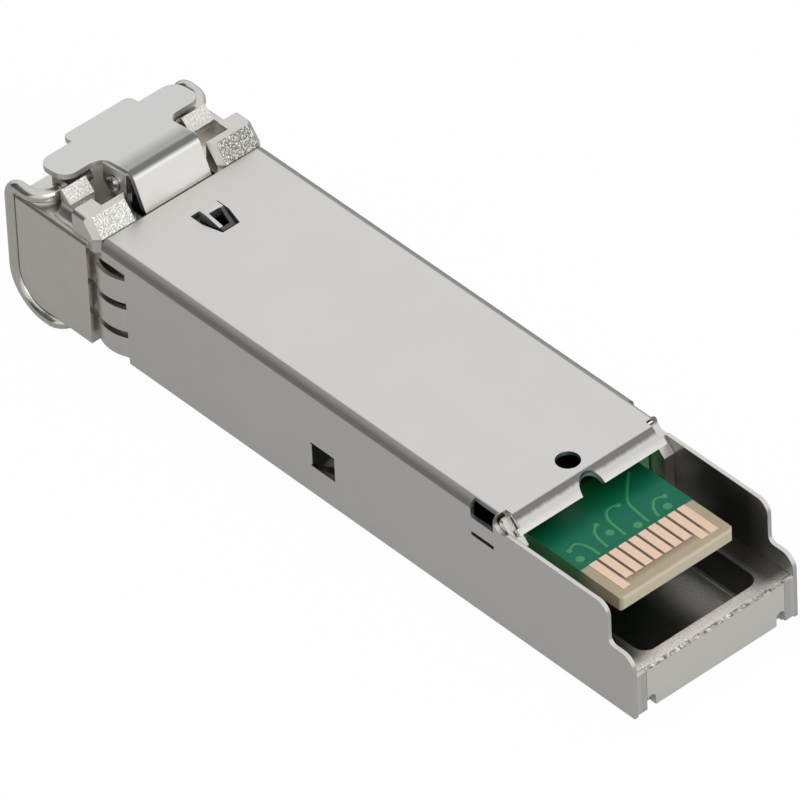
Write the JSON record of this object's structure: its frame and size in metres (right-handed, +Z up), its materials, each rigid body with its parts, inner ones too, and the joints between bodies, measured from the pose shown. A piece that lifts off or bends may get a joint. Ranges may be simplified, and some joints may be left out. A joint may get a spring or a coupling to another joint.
{
  "type": "sfp transceiver",
  "caption": "Pluggable duplex fibre transceiver with cast housing, stamped cover, card edge, rocking latch and wire bail.",
  "frame": {"origin": "middle of the underside of the whole object as it lies on its label side, bail closed", "axes": "+X to the card-edge end, +Y across the module, +Z up to the latch side"},
  "size_m": [0.0564, 0.0148, 0.0118],
  "materials": {
    "cast_metal": "fine grained nickel plated zinc casting",
    "cover_sheet": "satin rolled stainless sheet",
    "spring_strip": "bright spring steel strip",
    "port_plastic": "dark moulded plastic",
    "pin_steel": "ground steel",
    "board_laminate": "green masked glass laminate",
    "gold_contacts": "gold plated",
    "chip_resin": "moulded epoxy",
    "capacitor_ceramic": "fired ceramic with tinned ends",
    "resistor_glaze": "glazed ceramic with tinned ends",
    "ferrite": "ferrite core",
    "pad_silicone": "soft filled silicone",
    "barrel_steel": "turned stainless",
    "can_gold": "gold plated steel",
    "flex_film": "amber polyimide film",
    "white_ceramic": "polished zirconia",
    "lever_steel": "matte stamped steel",
    "bail_wire_steel": "bright round wire"
  },
  "bodies": {
    "housing": {"base_housing": "cast_metal", "shell_cover": "cover_sheet", "ground_spring_strip": "spring_strip", "port_insert": "port_plastic", "pivot_pin": "pin_steel", "return_spring": "spring_strip", "circuit_board": "board_laminate", "contact_pads": "gold_contacts", "driver_chip": "chip_resin", "amplifier_chip": "chip_resin", "control_chip": "chip_resin", "memory_chip": "chip_resin", "ceramic_capacitors": "capacitor_ceramic", "chip_resistors": "resistor_glaze", "power_inductors": "ferrite", "thermal_pad": "pad_silicone", "transmit_barrel": "barrel_steel", "receive_barrel": "barrel_steel", "transmit_can": "can_gold", "receive_can": "can_gold", "can_leads": "can_gold", "transmit_flex": "flex_film", "receive_flex": "flex_film", "ceramic_sleeves": "white_ceramic", "fibre_stubs": "white_ceramic", "optics_clamp": "spring_strip"},
    "lever": {"latch_lever": "lever_steel"},
    "bail": {"bail_wire": "bail_wire_steel"}
  },
  "joints": [
    {"name": "bail_swing", "type": "hinge", "parent": "housing", "child": "bail", "pos_m": [-0.025, 0, 0.0097], "axis": [0, 1, 0], "range_deg": [0, 90]},
    {"name": "lever_rock", "type": "hinge", "parent": "housing", "child": "lever", "pos_m": [-0.0226, 0, 0.01035], "axis": [0, 1, 0], "range_deg": [0, 6.5], "stiffness_Nm_per_rad": 0.002, "springref_deg": -2.86, "deforming": ["return_spring"]}
  ],
  "couplings": [
    {"joint": "lever_rock", "follows": "bail_swing", "ratio": 0.0722}
  ]
}
